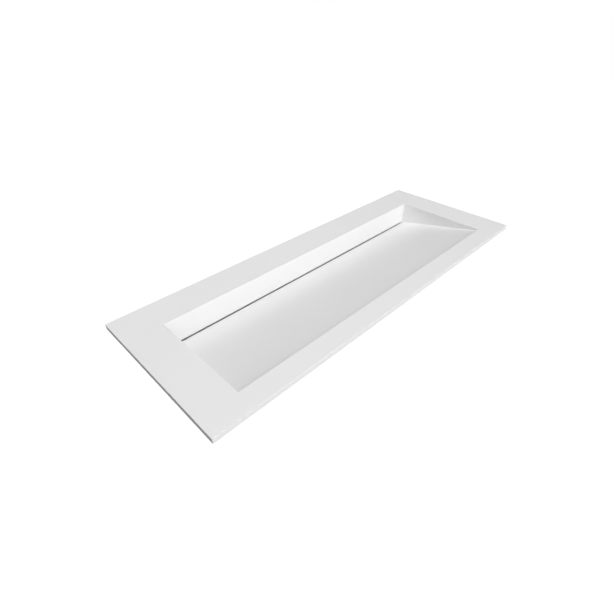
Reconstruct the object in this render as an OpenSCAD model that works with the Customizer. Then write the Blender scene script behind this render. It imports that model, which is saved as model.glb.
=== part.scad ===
// Drop-on vanity basin: a thin mineral-resin deck with a long sunken bowl.
// A sloping floor panel lifts out. Water runs down it and through a slot under
// the rear wall into a hidden trough, which falls to a grated waste.
// X runs along the deck, Y to the wall, Z up. The origin is the centre of
// the deck's underside, which lies on the cabinet.

/* [Deck] */
// Length of the deck, left to right
deck_l = 1200; // [1100:10:1600]
// Depth of the deck, front to wall
deck_w = 450; // [430:5:560]
// Thickness of the deck sheet
deck_t = 15; // [13:1:25]
// Radius of the deck's four upright corners
corner_r = 2; // [2:0.5:6]
// Radius that eases the deck's edges
edge_r = 0.5; // [0.5:0.25:1.5]
// Depth of the bonding rebate under the deck, round the opening
rebate_d = 3; // [2:0.5:5]
// Glue clearance round the bowl in the rebate
rebate_gap = 0.5; // [0.2:0.1:1]

/* [Bowl] */
// Rim at each end of the opening
side_rim = 100; // [70:5:200]
// Rim in front of the opening
front_rim = 55; // [45:1:80]
// Rim between the opening and the deck's wall edge
rear_rim = 100; // [80:5:120]
// Thickness of the bowl's bonded sheets
sheet_t = 12; // [9:1:15]
// Height of the slot between the ramp and the rear wall's lower edge
slot_h = 4; // [3:0.5:8]
// Length of the rear wall's foot at each end of the slot
foot_l = 12; // [4:0.5:16]
// Reach of those feet below the ramp's top
foot_h = 16; // [13:1:20]
// Space under the ramp, square to it, for water that gets past its edges
drain_gap = 15; // [12:1:22]
// Width of the ledges that carry the ramp's edges
ledge_w = 12; // [11:1:20]

/* [Ramp] */
// Thickness of the ramp panel
ramp_t = 12; // [9:1:15]
// Drop from the deck's top to the ramp at its front edge
front_drop = 5; // [3:0.5:10]
// Drop from the deck's top to the ramp's plane at the rear wall
slot_drop = 76; // [55:0.5:95]
// Clearance round the ramp and its seals
ramp_gap = 0.3; // [0.2:0.1:1]
// Radius at the rear, and bevel in front, that ease the ramp's top edges
ramp_edge_r = 0.5; // [0.4:0.1:2]
// Width of the soft seal along each side edge of the ramp
seal_w = 2.5; // [1.5:0.5:4]
// Height of the seal's lip over the ramp's top
seal_lip = 1.5; // [1:0.5:3]
// Number of stiffening ribs under the ramp
rib_count = 3; // [2:1:5]
// Thickness of a rib
rib_w = 12; // [11:1:20]
// Distance from the ribs' ends to the front ledge and to the trough
rib_inset = 8; // [4:1:20]
// Radius of a silicone pad
pad_r = 4.5; // [3:0.5:5]
// Thickness of a silicone pad
pad_t = 2; // [1.5:0.5:3]
// Clearance under the pads
seat_gap = 0.3; // [0.2:0.1:0.5]
// Number of pads along the front ledge
front_pads = 5; // [2:1:9]
// Number of pads along each side ledge
side_pads = 3; // [2:1:5]

/* [Trough] */
// Inside width of the trough, front to rear
trough_w = 92; // [78:1:110]
// Height of the bond between the trough's back wall and the bowl's rear wall
lap_h = 16; // [10:1:24]
// Drop from the bowl floor's lower edge to the trough floor at its ends
trough_drop = 28; // [20:1:45]
// Fall of the trough floor from its ends to the waste
trough_fall = 8; // [4:1:14]
// Length of the flat plate that holds the waste
plate_l = 120; // [90:5:200]
// Thickness of that plate
plate_t = 15; // [13:1:20]

/* [Waste] */
// Radius of the waste's flange
flange_r = 35; // [32:0.5:37]
// Thickness of the flange
flange_t = 3; // [2.5:0.5:4]
// Clearance round the flange in its recess
flange_gap = 0.7; // [0.5:0.1:1]
// Thickness of the seal under the flange
flange_seal_t = 1.5; // [1:0.5:3]
// Outer radius of the tail, a pipe thread of 1 1/4 inch
tail_r = 20.955; // [20.5:0.005:24]
// Length of the waste from the flange's top to the tail's end
tail_l = 75; // [65:1:110]
// Inner radius of the tail
bore_r = 17.5; // [16:0.5:18]
// Clearance round the tail in the plate
tail_gap = 1.5; // [1:0.5:3]
// Distance of the undercut between the two thread lengths from the top
undercut_at = 38; // [37:0.5:45]
// Width and depth of that undercut
undercut = 1.5; // [1:0.25:2]
// Radius of the loose grid
grid_r = 19; // [18.6:0.1:19.2]
// Thickness of the grid
grid_t = 1.5; // [1:0.25:2.5]
// Clearance round the grid in its seat
grid_gap = 0.3; // [0.2:0.05:0.4]
// Radius of the grid's drain holes
grid_hole_r = 2.2; // [1.5:0.1:2.4]
// Width of the bars that carry the grid's screw
bar_w = 3; // [2:0.5:5]
// Height of those bars
bar_h = 7; // [5:0.5:10]
// Radius of the boss where the bars cross
boss_r = 5; // [4.5:0.25:6]
// Radius of the grid screw's thread
screw_r = 3; // [2:0.25:3.5]
// Length of the screw under its head
screw_l = 9; // [7:0.5:12]
// Radius of the screw's head
head_r = 5; // [4.5:0.25:6]
// Height of the screw's head
head_h = 2; // [1.5:0.25:3]
// Running clearance round a thread that is drawn plain
thread_gap = 0.06; // [0.04:0.01:0.09]
// Thickness of the seal under the plate
under_seal_t = 4; // [3:0.5:5]
// Thickness of the slip washer
washer_t = 1.5; // [1:0.5:2]
// Outer radius of the underside seal and the washer
washer_r = 31; // [28:0.5:34]
// Distance across the backnut's flats
nut_af = 54; // [50:1:62]
// Thickness of the backnut
nut_t = 9; // [7:0.5:11]

/* [Fixing inserts] */
// Distance of the inserts from the deck's front and wall edges
insert_inset = 50; // [30:5:90]
// Outer radius of an insert
insert_r = 4.5; // [4:0.25:6]
// Radius of an insert's bore
insert_bore_r = 3; // [2:0.25:3.5]
// Length of an insert
insert_l = 10; // [7:0.5:11]
// Glue clearance round an insert
insert_gap = 0.1; // [0.05:0.05:0.3]

/* [Hidden] */
$fn = 64;

// Overshoot of a cutter past the face that it cuts
over = 1;

// Plan
bowl_l = deck_l - 2 * side_rim;
bowl_w = deck_w - front_rim - rear_rim;
y_rear = deck_w / 2 - rear_rim;
y_front = y_rear - bowl_w;
y_back = y_rear + sheet_t;
y_trough = y_back - trough_w;
bowl_mid = (y_front + y_rear) / 2;
half_l = bowl_l / 2;
outer_half = half_l + sheet_t;
slot_half = half_l - foot_l;

// Ramp plane
slope = (slot_drop - front_drop) / bowl_w;
tilt = atan(slope);
seal_face = half_l - ramp_gap;
ramp_half = seal_face - seal_w;
ramp_front = y_front + ramp_gap;
ramp_rear = y_rear - ramp_gap;
rib_h = drain_gap - pad_t - seat_gap;

// Height of the ramp's top at a place from front to rear
function ramp_z(y) = deck_t - front_drop - slope * (y - y_front);
// The same line, lowered square to the ramp
function under_ramp(y, depth) = ramp_z(y) - depth / cos(tilt);
// Distance along the slope of a point that lies under the ramp's plane
function along(y, depth) = (y - y_front + depth * sin(tilt)) / cos(tilt);

// Depths of the layers under the ramp's top, square to it
ledge_depth = ramp_t + pad_t + seat_gap;
floor_depth = ramp_t + drain_gap;
base_depth = floor_depth + sheet_t;

// Heights at the slot
slot_z = ramp_z(y_rear) + slot_h;
foot_z = ramp_z(y_rear) - foot_h;

// Heights in the trough
trough_end_z = under_ramp(y_trough, floor_depth) - trough_drop;
waste_z = trough_end_z - trough_fall;
base_z = waste_z - sheet_t;
plate_z = waste_z - plate_t;
waste_y = (y_trough + y_back) / 2;

// Waste stack
grid_seat_r = grid_r + grid_gap;
recess_d = flange_t + flange_seal_t;
tail_hole_r = tail_r + tail_gap;
seal_bore_r = tail_r + thread_gap;

// Places of the fixing inserts
insert_x = (outer_half + deck_l / 2) / 2;
insert_y = deck_w / 2 - insert_inset;

// Colours
resin_white = "#F1F1EF";
resin_raw = "#E6E4DE";
silicone_grey = "#C9CBCB";
silicone_white = "#F7F7F6";
chrome = "#C8CCD0";
brass = "#B58F4A";
rubber = "#2C2D2E";
nylon = "#E9E7DF";

// Draws an outline given in Y and Z, and runs it along X
module along_x(x0, x1) {
    translate([x0, 0, 0])
        rotate([90, 0, 90])
            linear_extrude(x1 - x0)
                children();
}

// Draws an outline given in X and Z, and runs it along Y
module along_y(y0, y1) {
    translate([0, y1, 0])
        rotate([90, 0, 0])
            linear_extrude(y1 - y0)
                children();
}

// Moves to the ramp's frame: Y down the slope from its front, Z square to it
module on_ramp() {
    translate([0, y_front, deck_t - front_drop])
        rotate([-tilt, 0, 0])
            children();
}

// Outline that rounds off a corner, whose faces leave it in directions a and b
module rounding(corner, a, b, r) {
    half = (b - a) / 2;
    mid = (a + b) / 2;
    inward = [cos(mid), sin(mid)];
    centre = corner + inward * r / sin(half);
    near_a = corner + [cos(a), sin(a)] * r / tan(half);
    near_b = corner + [cos(b), sin(b)] * r / tan(half);
    difference() {
        polygon([
            near_a,
            centre,
            near_b,
            near_b - inward * over,
            corner - inward * over,
            near_a - inward * over
        ]);
        translate(centre)
            circle(r);
    }
}

// Cutter that rounds a square edge along X, with the solid on its -Y, -Z side
module edge_cutter(length, r) {
    along_x(-length / 2, length / 2)
        rounding([0, 0], 180, 270, r);
}

// Rectangle with rounded corners, centred
module rounded_plan(l, w, r) {
    square([l - 2 * r, w], center = true);
    square([l, w - 2 * r], center = true);
    for (x = [-1, 1], y = [-1, 1])
        translate([x * (l / 2 - r), y * (w / 2 - r)])
            circle(r);
}

// Cutters round the deck's outer edge, for its top or, mirrored, its bottom
module outer_easing() {
    for (turn = [0:3]) {
        run = turn % 2 == 0 ? deck_l : deck_w;
        reach = turn % 2 == 0 ? deck_w / 2 : deck_l / 2;
        rotate([0, 0, 90 * turn]) {
            translate([0, reach, 0])
                edge_cutter(run - 2 * corner_r, edge_r);
            translate([run / 2 - corner_r, reach - corner_r, 0])
                rotate_extrude(angle = 90)
                    rounding([corner_r, 0], 180, 270, edge_r);
        }
    }
}

// Cutters round the top edge of the opening, mitred at its square corners
module opening_easing() {
    for (turn = [0:3]) {
        run = turn % 2 == 0 ? bowl_l : bowl_w;
        reach = turn % 2 == 0 ? bowl_w / 2 : bowl_l / 2;
        rotate([0, 0, 90 * turn]) {
            translate([0, -reach, 0])
                edge_cutter(run, edge_r);
            intersection() {
                translate([0, -reach, 0])
                    edge_cutter(run + 4 * edge_r, edge_r);
                translate([run / 2, 0, 0])
                    rotate([0, 0, 90])
                        edge_cutter(2 * reach + 4 * edge_r, edge_r);
            }
        }
    }
}

// Ring that lies on its lower face
module ring(outer_r, inner_r, t) {
    difference() {
        cylinder(h = t, r = outer_r);
        translate([0, 0, -over])
            cylinder(h = t + 2 * over, r = inner_r);
    }
}

// Moves to the waste's axis, with Z = 0 at the flange's top
module at_waste() {
    translate([0, waste_y, waste_z])
        children();
}

module at_inserts() {
    for (x = [-1, 1], y = [-1, 1])
        translate([x * insert_x, y * insert_y, 0])
            children();
}

module deck() {
    rebate_l = 2 * (outer_half + rebate_gap);
    rebate_w = bowl_w + 2 * (sheet_t + rebate_gap);
    color(resin_white)
        difference() {
            linear_extrude(deck_t)
                difference() {
                    rounded_plan(deck_l, deck_w, corner_r);
                    translate([0, bowl_mid])
                        square([bowl_l, bowl_w], center = true);
                }
            translate([-rebate_l / 2, bowl_mid - rebate_w / 2, -over])
                cube([rebate_l, rebate_w, rebate_d + over]);
            translate([0, 0, deck_t])
                outer_easing();
            mirror([0, 0, 1])
                outer_easing();
            translate([0, bowl_mid, deck_t])
                opening_easing();
            at_inserts()
                translate([0, 0, -over])
                    cylinder(h = insert_l + insert_gap + over, r = insert_r + insert_gap);
        }
}

module front_wall() {
    wall_z = under_ramp(y_front, base_depth);
    color(resin_white)
        translate([-outer_half, y_front - sheet_t, wall_z])
            cube([2 * outer_half, sheet_t, rebate_d - wall_z]);
}

// Rear wall of the bowl, cut short over the ramp's rear edge, which leaves the
// slot. A foot at each end of the slot stops the ramp.
module rear_wall() {
    color(resin_white)
        along_y(y_rear, y_back)
            difference() {
                translate([-outer_half, foot_z])
                    square([2 * outer_half, rebate_d - foot_z]);
                translate([-slot_half, foot_z - over])
                    square([2 * slot_half, slot_z - foot_z + over]);
            }
}

// Side wall of the bowl: it follows the sloping floor, then drops round the
// trough and reaches back under the rear wall's foot
module cheek(x0) {
    y_step = y_trough - sheet_t;
    color(resin_white)
        along_x(x0, x0 + sheet_t)
            polygon([
                [y_front, rebate_d],
                [y_rear, rebate_d],
                [y_rear, foot_z],
                [y_back, foot_z],
                [y_back, base_z],
                [y_step, base_z],
                [y_step, under_ramp(y_step, base_depth)],
                [y_front, under_ramp(y_front, base_depth)]
            ]);
}

module left_cheek() {
    cheek(-outer_half);
}

module right_cheek() {
    cheek(half_l);
}

module bowl_floor() {
    color(resin_white)
        along_x(-half_l, half_l)
            polygon([
                [y_front, under_ramp(y_front, floor_depth)],
                [y_trough, under_ramp(y_trough, floor_depth)],
                [y_trough, under_ramp(y_trough, base_depth)],
                [y_front, under_ramp(y_front, base_depth)]
            ]);
}

module trough_wall() {
    y_face = y_trough - sheet_t;
    color(resin_white)
        along_x(-half_l, half_l)
            polygon([
                [y_face, under_ramp(y_face, base_depth)],
                [y_trough, under_ramp(y_trough, base_depth)],
                [y_trough, base_z],
                [y_face, base_z]
            ]);
}

// Back wall of the trough, bonded behind the rear wall
module trough_back() {
    color(resin_white)
        translate([-outer_half, y_back, base_z])
            cube([2 * outer_half, sheet_t, slot_z + lap_h - base_z]);
}

// Half of the trough's floor, which falls from a cheek to the waste plate
module trough_floor(side) {
    color(resin_white)
        along_y(y_trough, y_back)
            polygon([
                [side * half_l, trough_end_z],
                [side * plate_l / 2, waste_z],
                [side * plate_l / 2, base_z],
                [side * half_l, trough_end_z - sheet_t]
            ]);
}

module trough_floor_left() {
    trough_floor(-1);
}

module trough_floor_right() {
    trough_floor(1);
}

module waste_plate() {
    color(resin_white)
        difference() {
            translate([-plate_l / 2, y_trough, plate_z])
                cube([plate_l, trough_w, plate_t]);
            at_waste() {
                translate([0, 0, -recess_d])
                    cylinder(h = recess_d + over, r = flange_r + flange_gap);
                translate([0, 0, -plate_t - over])
                    cylinder(h = plate_t + 2 * over, r = tail_hole_r);
            }
        }
}

// Outline of a ledge between the bowl's floor and the ramp's pads
module ledge_outline(y0, y1) {
    polygon([
        [y0, under_ramp(y0, ledge_depth)],
        [y1, under_ramp(y1, ledge_depth)],
        [y1, under_ramp(y1, floor_depth)],
        [y0, under_ramp(y0, floor_depth)]
    ]);
}

module front_ledge() {
    color(resin_raw)
        along_x(-half_l, half_l)
            ledge_outline(y_front, y_front + ledge_w);
}

module side_ledge(x0) {
    color(resin_raw)
        along_x(x0, x0 + ledge_w)
            ledge_outline(y_front + ledge_w, y_trough);
}

module left_ledge() {
    side_ledge(-half_l);
}

module right_ledge() {
    side_ledge(half_l - ledge_w);
}

// Sloping panel, cut plumb at the front and at the rear. Its front edge, out of
// sight under the rim, is bevelled, and its rear edge is rounded.
module ramp_panel() {
    rear_edge = along(ramp_rear, 0);
    color(resin_white)
        on_ramp()
            difference() {
                along_x(-ramp_half, ramp_half)
                    polygon([
                        [along(ramp_front, 0) + ramp_edge_r, 0],
                        [rear_edge, 0],
                        [along(ramp_rear, ramp_t), -ramp_t],
                        [along(ramp_front, ramp_t), -ramp_t],
                        [along(ramp_front, ramp_edge_r), -ramp_edge_r]
                    ]);
                along_x(-half_l, half_l)
                    rounding([rear_edge, 0], 180, 270 + tilt, ramp_edge_r);
            }
}

// Soft strips along the ramp's side edges. A lip slopes up from the ramp's top to
// the cheek, so that water stays on the ramp.
module ramp_seals() {
    color(silicone_white)
        on_ramp()
            for (side = [-1, 1])
                intersection() {
                    along_x(-half_l, half_l)
                        polygon([
                            [along(ramp_front, -seal_lip), seal_lip],
                            [along(ramp_rear, -seal_lip), seal_lip],
                            [along(ramp_rear, ramp_t), -ramp_t],
                            [along(ramp_front, ramp_t), -ramp_t]
                        ]);
                    along_y(-bowl_w, 2 * bowl_w)
                        polygon([
                            [side * ramp_half, 0],
                            [side * seal_face, seal_lip],
                            [side * seal_face, -ramp_t],
                            [side * ramp_half, -ramp_t]
                        ]);
                }
}

// Ribs across the slope's width, which run down the slope so as not to dam it
module ramp_ribs() {
    y0 = y_front + ledge_w + rib_inset;
    y1 = y_trough - rib_inset;
    color(resin_raw)
        for (i = [1:rib_count])
            let (x = rib_place(i))
                along_x(x - rib_w / 2, x + rib_w / 2)
                    polygon([
                        [y0, under_ramp(y0, ramp_t)],
                        [y1, under_ramp(y1, ramp_t)],
                        [y1, under_ramp(y1, ramp_t + rib_h)],
                        [y0, under_ramp(y0, ramp_t + rib_h)]
                    ]);
}

function rib_place(i) = -half_l + i * bowl_l / (rib_count + 1);

// One pad at a place in plan, hanging from a face at a depth under the ramp
module pad(x, y, depth) {
    on_ramp()
        translate([x, along(y, depth), -depth - pad_t])
            cylinder(h = pad_t, r = pad_r);
}

module ramp_pads() {
    front_y = y_front + ledge_w / 2;
    side_x = half_l - ledge_w / 2;
    side_y0 = y_front + 2 * ledge_w;
    side_y1 = y_trough - ledge_w;
    rib_y0 = y_front + ledge_w + rib_inset + 2 * pad_r;
    rib_y1 = y_trough - rib_inset - 2 * pad_r;
    color(silicone_grey) {
        for (i = [1:front_pads])
            pad(-half_l + i * bowl_l / (front_pads + 1), front_y, ramp_t);
        for (side = [-1, 1], i = [0:side_pads - 1])
            pad(side * side_x, side_y0 + i * (side_y1 - side_y0) / (side_pads - 1), ramp_t);
        for (i = [1:rib_count], y = [rib_y0, rib_y1])
            pad(rib_place(i), y, ramp_t + rib_h);
    }
}

// Flange and threaded tail, turned in one piece, with a cross for the screw
module waste_body() {
    bar_top = -grid_t;
    color(chrome)
        at_waste()
            difference() {
                union() {
                    rotate_extrude()
                        polygon([
                            [grid_seat_r, 0],
                            [flange_r - flange_t / 2, 0],
                            [flange_r, -flange_t / 2],
                            [flange_r, -flange_t],
                            [tail_r, -flange_t],
                            [tail_r, -undercut_at + undercut],
                            [tail_r - undercut, -undercut_at + undercut],
                            [tail_r - undercut, -undercut_at],
                            [tail_r, -undercut_at],
                            [tail_r, -tail_l + over],
                            [tail_r - over, -tail_l],
                            [bore_r, -tail_l],
                            [bore_r, bar_top],
                            [grid_seat_r, bar_top]
                        ]);
                    intersection() {
                        translate([0, 0, bar_top - bar_h])
                            cylinder(h = bar_h, r = (bore_r + tail_r) / 2);
                        for (turn = [0, 90])
                            rotate([0, 0, turn])
                                translate([-tail_r, -bar_w / 2, bar_top - bar_h])
                                    cube([2 * tail_r, bar_w, bar_h]);
                    }
                    translate([0, 0, bar_top - bar_h])
                        cylinder(h = bar_h, r = boss_r);
                }
                translate([0, 0, bar_top - bar_h - over])
                    cylinder(h = bar_h + 2 * over, r = screw_r + thread_gap);
            }
}

// Loose disc of drain holes in two rings, held by the centre screw
module waste_grid() {
    inner_ring = 6;
    outer_ring = 12;
    color(chrome)
        at_waste()
            translate([0, 0, -grid_t])
                difference() {
                    cylinder(h = grid_t, r = grid_r);
                    translate([0, 0, -over]) {
                        cylinder(h = grid_t + 2 * over, r = screw_r + grid_gap);
                        for (i = [1:inner_ring])
                            rotate([0, 0, i * 360 / inner_ring])
                                translate([grid_r / 2, 0, 0])
                                    cylinder(h = grid_t + 2 * over, r = grid_hole_r);
                        for (i = [1:outer_ring])
                            rotate([0, 0, (i + 0.5) * 360 / outer_ring])
                                translate([grid_r * 0.8, 0, 0])
                                    cylinder(h = grid_t + 2 * over, r = grid_hole_r);
                    }
                }
}

module grid_screw() {
    slot_cut = head_h / 2;
    color(chrome)
        at_waste()
            difference() {
                union() {
                    rotate_extrude()
                        polygon([
                            [0, 0],
                            [head_r, 0],
                            [head_r, head_h / 2],
                            [head_r - head_h / 2, head_h],
                            [0, head_h]
                        ]);
                    translate([0, 0, -screw_l])
                        cylinder(h = screw_l, r = screw_r);
                }
                translate([-head_r - over, -slot_cut / 2, head_h - slot_cut])
                    cube([2 * (head_r + over), slot_cut, slot_cut + over]);
            }
}

module flange_seal() {
    color(rubber)
        at_waste()
            translate([0, 0, -recess_d])
                ring(flange_r - flange_t / 2, seal_bore_r, flange_seal_t);
}

module underside_seal() {
    color(rubber)
        at_waste()
            translate([0, 0, -plate_t - under_seal_t])
                ring(washer_r, seal_bore_r, under_seal_t);
}

module slip_washer() {
    color(nylon)
        at_waste()
            translate([0, 0, -plate_t - under_seal_t - washer_t])
                ring(washer_r, seal_bore_r, washer_t);
}

module backnut() {
    point_r = nut_af / sqrt(3);
    bevel = point_r - nut_af / 2;
    color(chrome)
        at_waste()
            translate([0, 0, -plate_t - under_seal_t - washer_t - nut_t])
                difference() {
                    intersection() {
                        cylinder(h = nut_t, r = point_r, $fn = 6);
                        rotate_extrude()
                            polygon([
                                [0, 0],
                                [nut_af / 2, 0],
                                [point_r, bevel / 2],
                                [point_r, nut_t],
                                [0, nut_t]
                            ]);
                    }
                    translate([0, 0, -over])
                        cylinder(h = nut_t + 2 * over, r = tail_r + thread_gap);
                }
}

// Threaded brass inserts, glued flush into the deck's underside
module fixing_inserts() {
    color(brass)
        at_inserts()
            ring(insert_r, insert_bore_r, insert_l);
}

deck();
front_wall();
rear_wall();
left_cheek();
right_cheek();
bowl_floor();
trough_wall();
trough_back();
trough_floor_left();
trough_floor_right();
waste_plate();
front_ledge();
left_ledge();
right_ledge();
ramp_panel();
ramp_seals();
ramp_ribs();
ramp_pads();
waste_body();
waste_grid();
grid_screw();
flange_seal();
underside_seal();
slip_washer();
backnut();
fixing_inserts();
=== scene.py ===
import math

import bmesh
import bpy
from mathutils import Matrix, Vector


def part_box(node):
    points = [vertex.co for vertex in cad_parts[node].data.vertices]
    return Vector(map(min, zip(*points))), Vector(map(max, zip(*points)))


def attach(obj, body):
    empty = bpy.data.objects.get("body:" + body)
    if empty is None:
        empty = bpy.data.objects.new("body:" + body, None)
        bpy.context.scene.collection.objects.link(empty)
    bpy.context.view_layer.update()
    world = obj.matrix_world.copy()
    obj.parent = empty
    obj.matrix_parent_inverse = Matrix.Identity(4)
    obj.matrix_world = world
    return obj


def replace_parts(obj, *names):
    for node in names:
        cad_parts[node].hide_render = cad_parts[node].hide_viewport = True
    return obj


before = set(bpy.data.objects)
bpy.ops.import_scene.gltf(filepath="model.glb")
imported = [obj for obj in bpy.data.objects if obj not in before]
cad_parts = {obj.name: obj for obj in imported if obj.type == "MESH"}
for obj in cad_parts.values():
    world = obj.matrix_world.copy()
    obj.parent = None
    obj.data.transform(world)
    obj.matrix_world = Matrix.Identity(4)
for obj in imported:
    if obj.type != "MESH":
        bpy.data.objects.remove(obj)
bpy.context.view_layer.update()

# The camera stands where the photograph was taken from: off the basin's front left
# corner and above it, turned to the right of the wall's square and tipped down. The
# lens's axis meets the picture 3 of its 612 pixels to the right of the centre.
MM = 0.001
camera_place = Vector((-785.4, -658.4, 651.4)) * MM
camera_turn = math.radians(44.8)
camera_dip = math.radians(37.48)
picture_width = 612
axis_offset = 3

photo_camera = bpy.data.cameras.new("photo_camera")
photo_camera.sensor_width = 36
photo_camera.lens = 24.19
photo_camera.shift_x = -axis_offset / picture_width
photo_camera.clip_start = 0.01
photo_camera.clip_end = 100
stand = bpy.data.objects.new("photo_camera", photo_camera)
stand.location = camera_place
stand.rotation_euler = (math.pi / 2 - camera_dip, 0, -camera_turn)
bpy.context.scene.collection.objects.link(stand)
bpy.context.scene.camera = stand


# The deck is one cast sheet of mineral-filled acrylic resin, 15 mm thick, with the
# opening routed out and the edges barely eased. Its top is sanded to a fine satin;
# the underside keeps the coarse lines of the drum sander.
def linear(hex_colour):
    """The linear colour of an sRGB hex value."""
    parts = [int(hex_colour[i:i + 2], 16) / 255 for i in (1, 3, 5)]
    return [c / 12.92 if c <= 0.04045 else ((c + 0.055) / 1.055) ** 2.4 for c in parts] + [1]


def put(tree, kind, inputs=None, **settings):
    """Adds a node. Each input, by its name or number, is a value, a hex colour, another
    node's output, or a node, whose first output in use is then linked."""
    made = tree.nodes.new(kind)
    for name, value in settings.items():
        setattr(made, name, value)
    for name, value in (inputs or {}).items():
        if isinstance(name, int):
            socket = made.inputs[name]
        else:
            socket = next(s for s in made.inputs if s.name == name and s.enabled)
        if isinstance(value, bpy.types.Node):
            value = next(s for s in value.outputs if s.enabled)
        if isinstance(value, bpy.types.NodeSocket):
            tree.links.new(value, socket)
        else:
            socket.default_value = linear(value) if isinstance(value, str) else value
    return made


def start_finish(name):
    """An empty material, its node tree, and the Object coordinates of its piece."""
    made = bpy.data.materials.new(name)
    made.use_nodes = True
    made.node_tree.nodes.clear()
    place = put(made.node_tree, "ShaderNodeTexCoord").outputs["Object"]
    return made, made.node_tree, place


def resin_finish(name, face_colour, cloud_colour, raw_colour, roughness, rawness):
    """Mineral-filled acrylic: an even white with faint clouds and mineral grains, satin
    where it is sanded fine, dull and lined where it is raw, as faces that look down are.
    Real grains and sanding lines are some 0.2 mm wide. They are drawn coarser, to show."""
    made, tree, place = start_finish(name)
    cloud_size = 240 * MM
    grain_size = 1.1 * MM
    clouds = put(tree, "ShaderNodeTexNoise", {"Vector": place, "Scale": 1 / cloud_size})
    cloudy = put(tree, "ShaderNodeMapRange", {"Value": clouds, "From Min": 0.3, "From Max": 0.7})
    face = put(tree, "ShaderNodeMix", {
        "Factor": cloudy, "A": face_colour, "B": cloud_colour}, data_type="RGBA")
    grains = put(tree, "ShaderNodeTexNoise", {
        "Vector": place, "Scale": 1 / grain_size, "Detail": 1})
    flecked = put(tree, "ShaderNodeMapRange", {
        "Value": grains, "From Min": 0.62, "From Max": 0.7, "To Max": 0.12})
    face = put(tree, "ShaderNodeMix", {
        "Factor": flecked, "A": face, "B": raw_colour}, data_type="RGBA")

    line_width = 2.2 * MM
    line_stretch = (0.015, 1, 1)
    along = put(tree, "ShaderNodeMapping", {"Vector": place, "Scale": line_stretch})
    lines = put(tree, "ShaderNodeTexNoise", {
        "Vector": along, "Scale": 1 / line_width, "Detail": 4, "Roughness": 0.6})
    streaky = put(tree, "ShaderNodeMapRange", {
        "Value": lines, "From Min": 0.3, "From Max": 0.7, "To Max": 0.3})
    lined = put(tree, "ShaderNodeMix", {
        "Factor": streaky, "A": raw_colour, "B": "#C4C1B9"}, data_type="RGBA")

    normal = put(tree, "ShaderNodeNewGeometry").outputs["Normal"]
    upward = put(tree, "ShaderNodeSeparateXYZ", {"Vector": normal}).outputs["Z"]
    raw = put(tree, "ShaderNodeMapRange", {
        "Value": upward, "From Min": -0.9, "From Max": -0.5, "To Min": 1, "To Max": rawness})

    haze_size = 16 * MM
    scuff_size = 1.6 * MM
    scuff_depth = 0.04 * MM
    haze = put(tree, "ShaderNodeTexNoise", {
        "Vector": place, "Scale": 1 / haze_size, "Detail": 6, "Roughness": 0.6})
    sanding = put(tree, "ShaderNodeMapRange", {
        "Value": haze, "From Min": 0.3, "From Max": 0.7,
        "To Min": roughness - 0.05, "To Max": roughness + 0.06})
    scuffs = put(tree, "ShaderNodeTexNoise", {
        "Vector": place, "Scale": 1 / scuff_size, "Detail": 3, "Roughness": 0.6})
    scratches = put(tree, "ShaderNodeMix", {"Factor": raw, "A": scuffs, "B": lines})
    resin = put(tree, "ShaderNodeBsdfPrincipled", {
        "Base Color": put(tree, "ShaderNodeMix", {
            "Factor": raw, "A": face, "B": lined}, data_type="RGBA"),
        "Roughness": put(tree, "ShaderNodeMix", {"Factor": raw, "A": sanding, "B": 0.68}),
        "IOR": 1.49, "Specular IOR Level": 0.2,
        "Normal": put(tree, "ShaderNodeBump", {
            "Strength": 0.12, "Distance": scuff_depth, "Height": scratches})})
    put(tree, "ShaderNodeOutputMaterial", {"Surface": resin})
    return made


def dress(finish, *nodes):
    """Gives CAD nodes a finish in place of their packed one."""
    for name in nodes:
        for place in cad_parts[name].material_slots:
            place.material = finish


fine_resin = resin_finish(
    "fine_sanded_mineral_resin", "#F3F3F3", "#F1F1F1", "#E4E2DE", roughness=0.48, rawness=0)
dress(fine_resin, "deck")

# The bowl's walls are strips of 12 mm sheet of the same resin, bonded on edge into a
# rebate under the deck, so that their inner faces run on from the opening's edge.
dress(fine_resin, "front_wall", "rear_wall", "left_cheek", "right_cheek")

# Under the loose ramp lies a second, fixed floor that catches stray water, and behind
# it the trough, which reaches back under the rear wall's cut edge. Its floor is two
# strips that fall to a thicker plate, and the plate carries the waste.
dress(
    fine_resin, "bowl_floor", "trough_wall", "trough_back", "trough_floor_left",
    "trough_floor_right", "waste_plate")

# The ledges that carry the ramp's front and sides are offcuts of the same sheet, sawn
# and bonded on, and left unsanded, so that they are duller and greyer on all sides.
raw_resin = resin_finish(
    "sawn_mineral_resin", "#E2E0DA", "#DDDAD3", "#D6D3CC", roughness=0.62, rawness=0.6)
dress(raw_resin, "front_ledge", "left_ledge", "right_ledge")


# The joints are bonded with acrylic adhesive in the resin's colour. Inside it is
# sanded flush; outside, where nobody looks, a thin bead of it is left standing.
def finish_piece(name, work, finish, body):
    """Makes a piece of a finished bmesh: its normals, smooth faces and sharp edges."""
    sharp_angle = math.radians(35)
    bmesh.ops.remove_doubles(work, verts=work.verts, dist=0.001 * MM)
    bmesh.ops.recalc_face_normals(work, faces=work.faces)
    shape = bpy.data.meshes.new(name)
    work.to_mesh(shape)
    work.free()
    shape.shade_smooth()
    shape.set_sharp_from_angle(angle=sharp_angle)
    shape.materials.append(finish)
    piece = bpy.data.objects.new(name, shape)
    bpy.context.scene.collection.objects.link(piece)
    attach(piece, body)
    return piece


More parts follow.
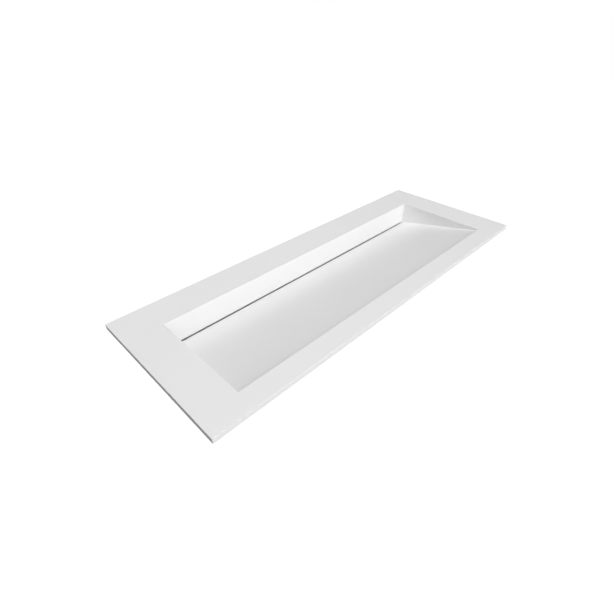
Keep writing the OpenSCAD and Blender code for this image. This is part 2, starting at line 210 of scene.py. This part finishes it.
def lay_bead(work, route, radius, closed=False):
    """Runs a round bead along straight stretches from point to point."""
    line = bpy.data.curves.new("bead", "CURVE")
    line.dimensions = "3D"
    line.bevel_depth = radius
    line.bevel_resolution = 2
    line.use_fill_caps = True
    stretch = line.splines.new("POLY")
    stretch.points.add(len(route) - 1)
    stretch.use_cyclic_u = closed
    for point, place in zip(stretch.points, route):
        point.co = (*place, 1)
    carrier = bpy.data.objects.new("bead", line)
    bpy.context.scene.collection.objects.link(carrier)
    bpy.context.view_layer.update()
    shape = bpy.data.meshes.new_from_object(carrier)
    work.from_mesh(shape)
    bpy.data.objects.remove(carrier)
    bpy.data.meshes.remove(shape)


def adhesive_finish():
    """Cured acrylic adhesive: as white as the resin, but glossy and uneven."""
    made, tree, place = start_finish("cured_acrylic_adhesive")
    lump_size = 5 * MM
    lump_height = 0.3 * MM
    lumps = put(tree, "ShaderNodeTexNoise", {"Vector": place, "Scale": 1 / lump_size, "Detail": 4})
    adhesive = put(tree, "ShaderNodeBsdfPrincipled", {
        "Base Color": put(tree, "ShaderNodeMix", {
            "Factor": lumps, "A": "#E9E7DF", "B": "#DFDCD2"}, data_type="RGBA"),
        "Roughness": 0.24, "IOR": 1.49,
        "Normal": put(tree, "ShaderNodeBump", {
            "Strength": 0.4, "Distance": lump_height, "Height": lumps})})
    put(tree, "ShaderNodeOutputMaterial", {"Surface": adhesive})
    return made


bead_radius = 1.6 * MM
seam_radius = 0.5 * MM
front_low, front_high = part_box("front_wall")
rear_low, rear_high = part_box("rear_wall")
back_low, back_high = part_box("trough_back")
trough_low, trough_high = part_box("trough_wall")
beads = bmesh.new()
lay_bead(beads, [
    (rear_low.x, front_low.y, 0), (rear_high.x, front_low.y, 0),
    (rear_high.x, rear_high.y, 0), (rear_low.x, rear_high.y, 0)], bead_radius, closed=True)
for run_low, run_high, run_y, run_z in (
        (trough_low.x, trough_high.x, trough_low.y, trough_high.z),
        (back_low.x, back_high.x, back_low.y, back_high.z)):
    lay_bead(beads, [(run_low, run_y, run_z), (run_high, run_y, run_z)], bead_radius)
for end_x in (rear_low.x, rear_high.x):
    for seam_y, seam_low, seam_high in (
            (front_high.y, front_low.z, 0), (rear_low.y, rear_low.z, 0),
            (back_low.y, back_low.z, rear_low.z)):
        seam = [(end_x, seam_y, seam_low + seam_radius), (end_x, seam_y, seam_high)]
        lay_bead(beads, seam, seam_radius)
finish_piece("adhesive_beads", beads, adhesive_finish(), "basin")


# Four brass inserts are glued into blind holes in the deck's underside. Each is turned
# from bar, with a countersunk mouth and an M6 thread. Like all turned pieces, they have
# their sizes in plain millimetres.
def turn_outline(work, outline, axis_at=(0, 0, 0), steps=96):
    """Spins a closed outline of (radius, height) points in mm about an upright axis."""
    ring = [work.verts.new(Vector((r, 0, z)) * MM + Vector(axis_at)) for r, z in outline]
    edges = [work.edges.new(pair) for pair in zip(ring, ring[1:] + ring[:1])]
    bmesh.ops.spin(
        work, geom=ring + edges, cent=axis_at, axis=(0, 0, 1), angle=2 * math.pi,
        steps=steps, use_merge=True)


def brass_finish():
    """Turned brass bar: a warm yellow metal whose tool marks unsettle its shine, with a
    few brown stains. The marks are drawn 0.6 mm wide, coarser than real, to show."""
    made, tree, place = start_finish("turned_brass")
    stain_size = 3 * MM
    mark_width = 0.6 * MM
    stains = put(tree, "ShaderNodeTexNoise", {"Vector": place, "Scale": 1 / stain_size, "Detail": 4})
    stained = put(tree, "ShaderNodeMapRange", {
        "Value": stains, "From Min": 0.45, "From Max": 0.75, "To Max": 0.5})
    marks = put(tree, "ShaderNodeTexNoise", {"Vector": place, "Scale": 1 / mark_width})
    brass = put(tree, "ShaderNodeBsdfPrincipled", {
        "Base Color": put(tree, "ShaderNodeMix", {
            "Factor": stained, "A": "#D9B062", "B": "#8F6B33"}, data_type="RGBA"),
        "Metallic": 1,
        "Roughness": put(tree, "ShaderNodeMapRange", {
            "Value": marks, "From Min": 0.3, "From Max": 0.7, "To Min": 0.24, "To Max": 0.38})})
    put(tree, "ShaderNodeOutputMaterial", {"Surface": brass})
    return made


def islands(node):
    """The separate solids of a CAD node, each as its lowest and highest corner."""
    work = bmesh.new()
    work.from_mesh(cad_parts[node].data)
    bmesh.ops.remove_doubles(work, verts=work.verts, dist=0.001 * MM)
    left = set(work.verts)
    found = []
    while left:
        group = []
        fringe = [left.pop()]
        while fringe:
            vert = fringe.pop()
            group.append(vert.co.copy())
            near = {e.other_vert(vert) for e in vert.link_edges} & left
            left -= near
            fringe += near
        found.append([Vector(f(co[i] for co in group) for i in range(3)) for f in (min, max)])
    work.free()
    return sorted(found, key=lambda corners: tuple(corners[0]))


insert_outer = 4.5
insert_length = 10
insert_ease = 0.3
insert_root = 3.0
insert_crest = 2.55
insert_pitch = 1.0
insert_turns = 8
mouth_radius = 3.6
mouth_depth = 0.6

sleeve = [
    (insert_root, insert_length), (insert_outer, insert_length), (insert_outer, insert_ease),
    (insert_outer - insert_ease, 0), (mouth_radius, 0), (insert_root, mouth_depth)]
for turn in range(1, insert_turns + 1):
    sleeve += [(insert_crest, turn * insert_pitch), (insert_root, (turn + 0.5) * insert_pitch)]
inserts = bmesh.new()
for low, high in islands("fixing_inserts"):
    turn_outline(inserts, sleeve, ((low.x + high.x) / 2, (low.y + high.y) / 2, low.z), steps=48)
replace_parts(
    finish_piece("fixing_inserts_turned", inserts, brass_finish(), "basin"), "fixing_inserts")


# The waste stands in a recess of its plate on a moulded rubber seal, and a softer seal
# and a nylon slip washer take the nut's turning underneath.
def rubber_finish():
    """Moulded black EPDM: dull, with a faint grey bloom and the mould's fine grain, which
    is drawn 0.5 mm wide, coarser than real, to show."""
    made, tree, place = start_finish("moulded_epdm_rubber")
    bloom_size = 9 * MM
    grain_size = 0.5 * MM
    grain_depth = 0.05 * MM
    bloom = put(tree, "ShaderNodeTexNoise", {"Vector": place, "Scale": 1 / bloom_size, "Detail": 4})
    greyed = put(tree, "ShaderNodeMapRange", {
        "Value": bloom, "From Min": 0.3, "From Max": 0.7, "To Max": 0.35})
    grains = put(tree, "ShaderNodeTexNoise", {"Vector": place, "Scale": 1 / grain_size, "Detail": 3})
    rubber = put(tree, "ShaderNodeBsdfPrincipled", {
        "Base Color": put(tree, "ShaderNodeMix", {
            "Factor": greyed, "A": "#232324", "B": "#3B3B3B"}, data_type="RGBA"),
        "Roughness": 0.62,
        "Normal": put(tree, "ShaderNodeBump", {
            "Strength": 0.3, "Distance": grain_depth, "Height": grains})})
    put(tree, "ShaderNodeOutputMaterial", {"Surface": rubber})
    return made


def nylon_finish():
    """Moulded natural nylon: a milky cream, a little cloudy, with a soft sheen."""
    made, tree, place = start_finish("moulded_nylon")
    cloud_size = 12 * MM
    sheen_size = 1.5 * MM
    clouds = put(tree, "ShaderNodeTexNoise", {"Vector": place, "Scale": 1 / cloud_size})
    sheen = put(tree, "ShaderNodeTexNoise", {"Vector": place, "Scale": 1 / sheen_size})
    nylon = put(tree, "ShaderNodeBsdfPrincipled", {
        "Base Color": put(tree, "ShaderNodeMix", {
            "Factor": clouds, "A": "#ECE8DC", "B": "#E2DDCE"}, data_type="RGBA"),
        "Roughness": put(tree, "ShaderNodeMapRange", {
            "Value": sheen, "From Min": 0.3, "From Max": 0.7, "To Min": 0.36, "To Max": 0.48}),
        "IOR": 1.53})
    put(tree, "ShaderNodeOutputMaterial", {"Surface": nylon})
    return made


def round_ring(outer, inner, bottom, top, ease):
    """Outline of a washer whose four corners are eased by a small bevel."""
    return [
        (inner, bottom + ease), (inner + ease, bottom), (outer - ease, bottom),
        (outer, bottom + ease), (outer, top - ease), (outer - ease, top),
        (inner + ease, top), (inner, top - ease)]


washer_bore = 21.1
waste_low, waste_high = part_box("waste_body")
waste_top = Vector(((waste_low.x + waste_high.x) / 2, (waste_low.y + waste_high.y) / 2, waste_high.z))
rubber = rubber_finish()
for node, finish, slot, ease in (
        ("flange_seal", rubber, "rubber", 0.25),
        ("underside_seal", rubber, "rubber", 0.9),
        ("slip_washer", nylon_finish(), "nylon", 0.3)):
    low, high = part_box(node)
    bottom = (low.z - waste_top.z) / MM
    top = (high.z - waste_top.z) / MM
    washer = bmesh.new()
    turn_outline(
        washer, round_ring((high.x - low.x) / 2 / MM, washer_bore, bottom, top, ease), waste_top)
    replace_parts(finish_piece(node + "_moulded", washer, finish, "basin"), node)


# The waste body is turned from brass and chromed: a flange, a seat for the grid, a cross
# for its screw, and a tail with a 1 1/4 inch pipe thread of 11 turns to the inch. The
# hexagonal backnut, chromed as well, draws it down on its seals.
def chrome_finish():
    """Bright chrome plate: a neutral mirror, a little hazed by water marks."""
    made, tree, place = start_finish("chrome_plate")
    tint_size = 20 * MM
    mark_size = 6 * MM
    tint = put(tree, "ShaderNodeTexNoise", {"Vector": place, "Scale": 1 / tint_size})
    marks = put(tree, "ShaderNodeTexNoise", {
        "Vector": place, "Scale": 1 / mark_size, "Detail": 5, "Roughness": 0.6})
    plate = put(tree, "ShaderNodeBsdfPrincipled", {
        "Base Color": put(tree, "ShaderNodeMix", {
            "Factor": tint, "A": "#D3D6D8", "B": "#C6CACC"}, data_type="RGBA"),
        "Metallic": 1,
        "Roughness": put(tree, "ShaderNodeMapRange", {
            "Value": marks, "From Min": 0.3, "From Max": 0.7, "To Min": 0.07, "To Max": 0.17})})
    put(tree, "ShaderNodeOutputMaterial", {"Surface": plate})
    return made


def wind_thread(work, axis_at, crest, root, start, length, pitch):
    """Winds a ridge of thread down from start, with its foot sunk in and its ends closed.
    The foot's and the crest's widths are shares of the pitch."""
    steps = 48
    sunk = 0.1
    foot_share = 0.95
    crest_share = 0.2
    half = pitch / 2
    ridge = [
        (root - sunk, foot_share), (crest, crest_share),
        (crest, -crest_share), (root - sunk, -foot_share)]
    ring = [
        work.verts.new(Vector((r, 0, start - half + share * half)) * MM + Vector(axis_at))
        for r, share in ridge]
    end_face = work.faces.new(ring)
    turns = (length - pitch) / pitch
    bmesh.ops.spin(
        work, geom=[end_face], cent=axis_at, axis=(0, 0, 1), angle=2 * math.pi * turns,
        dvec=(0, 0, -pitch * MM / steps), steps=round(turns * steps))


pipe_pitch = 25.4 / 11
pipe_depth = 1.479
tail_crest = 20.955
tail_root = tail_crest - pipe_depth
tail_bore = 17.5
tail_end = -75
tail_ease = 0.4
undercut_low = -38
undercut_high = -36.5
thread_end = tail_end + 1
flange_radius = 35
flange_depth = 3
rim_round = 1.4
dish_depth = 0.5
seat_radius = 19.3
seat_depth = 1.5
seat_ease = 0.3
cross_low = -8.5
cross_width = 3
boss_radius = 5
boss_bore = 3.06
arm_start = boss_radius - 1
arm_end = tail_bore + 0.6
quarter_turn = [math.radians(15 * step) for step in range(7)]

chrome = chrome_finish()
body = bmesh.new()
dish = [
    (seat_radius + 0.5, -dish_depth), (seat_radius + 3, -dish_depth / 2), (flange_radius - 6, -0.02)]
rim = [
    (flange_radius - rim_round + rim_round * math.sin(a), -rim_round + rim_round * math.cos(a))
    for a in quarter_turn]
tail = [
    (flange_radius, -flange_depth), (tail_root, -flange_depth), (tail_root, tail_end + tail_ease),
    (tail_root - tail_ease, tail_end), (tail_bore + tail_ease, tail_end),
    (tail_bore, tail_end + tail_ease), (tail_bore, -seat_depth - seat_ease)]
seat = [
    (tail_bore + seat_ease, -seat_depth), (seat_radius, -seat_depth), (seat_radius, -2 * dish_depth)]
turn_outline(body, dish + rim + tail + seat, waste_top)
for start, end in ((-flange_depth, undercut_high), (undercut_low, thread_end)):
    wind_thread(body, waste_top, tail_crest, tail_root, start, start - end, pipe_pitch)
turn_outline(body, round_ring(boss_radius, boss_bore, cross_low, -seat_depth, seat_ease), waste_top)
for turn in range(4):
    arm = bmesh.ops.create_cube(body, size=MM)["verts"]
    bmesh.ops.scale(
        body, verts=arm, vec=(arm_end - arm_start, cross_width, -seat_depth - cross_low))
    bmesh.ops.translate(
        body, verts=arm, vec=Vector(((arm_end + arm_start) / 2, 0, (cross_low - seat_depth) / 2)) * MM)
    bmesh.ops.rotate(body, verts=arm, matrix=Matrix.Rotation(turn * math.pi / 2, 3, "Z"))
    bmesh.ops.translate(body, verts=arm, vec=waste_top)
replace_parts(finish_piece("waste_body_turned", body, chrome, "basin"), "waste_body")
dress(chrome, "backnut")


# The grid is a pressed disc of stainless steel with drain holes, held down by one
# slotted screw. Both are brushed.
def stainless_finish():
    """Brushed stainless steel: a soft grey metal with fine short scratches, drawn 0.25 mm
    wide, coarser than real, to show."""
    made, tree, place = start_finish("brushed_stainless_steel")
    scratch_width = 0.25 * MM
    scratch_depth = 0.02 * MM
    scratch_stretch = (0.06, 1, 1)
    along = put(tree, "ShaderNodeMapping", {"Vector": place, "Scale": scratch_stretch})
    scratches = put(tree, "ShaderNodeTexNoise", {
        "Vector": along, "Scale": 1 / scratch_width, "Detail": 3})
    steel = put(tree, "ShaderNodeBsdfPrincipled", {
        "Base Color": put(tree, "ShaderNodeMix", {
            "Factor": scratches, "A": "#BDBFC0", "B": "#A9ABAD"}, data_type="RGBA"),
        "Metallic": 1,
        "Roughness": put(tree, "ShaderNodeMapRange", {
            "Value": scratches, "From Min": 0.3, "From Max": 0.7, "To Min": 0.22, "To Max": 0.36}),
        "Normal": put(tree, "ShaderNodeBump", {
            "Strength": 0.15, "Distance": scratch_depth, "Height": scratches})})
    put(tree, "ShaderNodeOutputMaterial", {"Surface": steel})
    return made


dress(stainless_finish(), "waste_grid", "grid_screw")

# The ramp is a loose panel of the same sheet, cut plumb at its front and rear, its top
# edges eased, with sawn ribs bonded under it so that it doesn't sag.
dress(fine_resin, "ramp_panel")
dress(raw_resin, "ramp_ribs")


# An extruded strip of soft white silicone runs down each side of the ramp. Its lip
# slopes up to the cheek, so that water stays on the ramp.
def silicone_finish(name, first, second, clear):
    """Silicone rubber with a soft, slightly uneven sheen, more or less clear."""
    made, tree, place = start_finish(name)
    cloud_size = 4 * MM
    sheen_size = 0.8 * MM
    clouds = put(tree, "ShaderNodeTexNoise", {"Vector": place, "Scale": 1 / cloud_size})
    sheen = put(tree, "ShaderNodeTexNoise", {"Vector": place, "Scale": 1 / sheen_size})
    silicone = put(tree, "ShaderNodeBsdfPrincipled", {
        "Base Color": put(tree, "ShaderNodeMix", {
            "Factor": clouds, "A": first, "B": second}, data_type="RGBA"),
        "Roughness": put(tree, "ShaderNodeMapRange", {
            "Value": sheen, "From Min": 0.3, "From Max": 0.7, "To Min": 0.3, "To Max": 0.45}),
        "IOR": 1.41, "Transmission Weight": clear})
    put(tree, "ShaderNodeOutputMaterial", {"Surface": silicone})
    return made


dress(silicone_finish("extruded_white_silicone", "#FCFCFB", "#F8F8F7", clear=0), "ramp_seals")

# Domed pads, moulded of clear silicone, are stuck under the ramp's edges and ribs, square
# to its slope. They keep it off the ledges and the fixed floor.
ramp_drop = 71
ramp_run = 295
ramp_fall = math.atan(ramp_drop / ramp_run)
pad_radius = 4.5
pad_height = 2
pad_rim = 0.7
pad_flat = 2.5

dome = [(0, 0), (pad_radius, 0)] + [
    (pad_flat + (pad_radius - pad_flat) * math.cos(a), -pad_rim - (pad_height - pad_rim) * math.sin(a))
    for a in quarter_turn] + [(0, -pad_height)]
lean = Matrix.Rotation(-ramp_fall, 4, "X")
pads = bmesh.new()
for low, high in islands("ramp_pads"):
    one = bmesh.new()
    turn_outline(one, dome, steps=32)
    shape = bpy.data.meshes.new("pad")
    one.to_mesh(shape)
    one.free()
    stuck_at = (low + high) / 2 + lean @ Vector((0, 0, pad_height / 2 * MM))
    shape.transform(Matrix.Translation(stuck_at) @ lean)
    pads.from_mesh(shape)
    bpy.data.meshes.remove(shape)
clear_silicone = silicone_finish("moulded_clear_silicone", "#CBCDCC", "#BFC2C1", clear=0.35)
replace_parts(finish_piece("ramp_pads_moulded", pads, clear_silicone, "ramp"), "ramp_pads")


# The studio: large soft lamps in front, on the left and behind, a nearer one overhead and
# two small ones low down. The pale floor lies as far below as when the basin hangs at
# 850 mm, and the lamp under it lights only what faces down.
def seen_rays(tree):
    """1 for what the camera sees, also in a reflection or through something clear."""
    rays = put(tree, "ShaderNodeLightPath").outputs
    seen = put(tree, "ShaderNodeMath", {
        0: rays["Is Camera Ray"], 1: rays["Is Glossy Ray"]}, operation="MAXIMUM")
    return put(tree, "ShaderNodeMath", {
        0: seen, 1: rays["Is Transmission Ray"]}, operation="MAXIMUM")


def studio_floor():
    """Bright to the camera and in reflections, so that the ground is white; a dark grey
    for the light that it returns. Seen from below, it isn't there, and the lamp under it
    shines through."""
    made, tree = start_finish("pale_studio_floor")[:2]
    white = put(tree, "ShaderNodeEmission", {"Color": "#FFFFFF", "Strength": 1})
    pale = put(tree, "ShaderNodeBsdfDiffuse", {"Color": "#6E6E6E"})
    shade = put(tree, "ShaderNodeBsdfDiffuse", {"Color": "#404040"})
    bright = put(tree, "ShaderNodeAddShader", {0: white, 1: pale})
    above = put(tree, "ShaderNodeMixShader", {0: seen_rays(tree), 1: shade, 2: bright})
    below = put(tree, "ShaderNodeNewGeometry").outputs["Backfacing"]
    shadow = put(tree, "ShaderNodeLightPath").outputs["Is Shadow Ray"]
    passed = put(tree, "ShaderNodeMath", {0: below, 1: shadow}, operation="MAXIMUM")
    clear = put(tree, "ShaderNodeBsdfTransparent")
    ground = put(tree, "ShaderNodeMixShader", {0: passed, 1: above, 2: clear})
    put(tree, "ShaderNodeOutputMaterial", {"Surface": ground})
    return made


floor_height = -850 * MM
floor_reach = 30

ground = bmesh.new()
bmesh.ops.create_grid(ground, x_segments=2, y_segments=2, size=floor_reach)
bmesh.ops.translate(ground, verts=ground.verts, vec=(0, 0, floor_height))
floor_mesh = bpy.data.meshes.new("studio_floor")
ground.to_mesh(floor_mesh)
ground.free()
floor_mesh.materials.append(studio_floor())
floor = bpy.data.objects.new("studio_floor", floor_mesh)
bpy.context.scene.collection.objects.link(floor)


def soft_lamp(name, turn, height, width, power, distance=10):
    """A square lamp that faces the basin, in metres and watts. It is turned to the right
    of the front and raised over the deck, both in degrees."""
    towards = Vector((0, -1, 0))
    towards.rotate(Matrix.Rotation(-math.radians(height), 3, "X"))
    towards.rotate(Matrix.Rotation(math.radians(turn), 3, "Z"))
    panel = bpy.data.lights.new(name, "AREA")
    panel.shape = "SQUARE"
    panel.size = width
    panel.energy = power
    lamp = bpy.data.objects.new(name, panel)
    lamp.location = towards * distance
    lamp.rotation_euler = towards.to_track_quat("Z", "Y").to_euler()
    bpy.context.scene.collection.objects.link(lamp)
    return lamp


# The front lamp's reflection would burn the deck out when seen from behind.
front_lamp = soft_lamp("front_lamp", turn=0, height=20, width=6, power=648)
front_lamp.visible_glossy = False
soft_lamp("overhead_lamp", turn=-60, height=82, width=2, power=46, distance=3)
soft_lamp("left_lamp", turn=-60, height=30, width=6, power=135)
soft_lamp("back_lamp", turn=180, height=60, width=6, power=152)
soft_lamp("low_lamp", turn=0, height=-10, width=0.6, power=16, distance=3)
soft_lamp("fill_lamp", turn=130, height=-9, width=0.6, power=85, distance=3.6)
soft_lamp("under_lamp", turn=0, height=-90, width=0.9, power=42, distance=3)

surround_light = 0.02
surround = bpy.data.worlds.new("studio")
surround.use_nodes = True
air = surround.node_tree
air.nodes.clear()
strength = put(air, "ShaderNodeMapRange", {"Value": seen_rays(air), "To Min": surround_light})
backdrop = put(air, "ShaderNodeBackground", {"Color": "#FFFFFF", "Strength": strength})
put(air, "ShaderNodeOutputWorld", {"Surface": backdrop})
bpy.context.scene.world = surround
bpy.context.scene.view_settings.view_transform = "Standard"
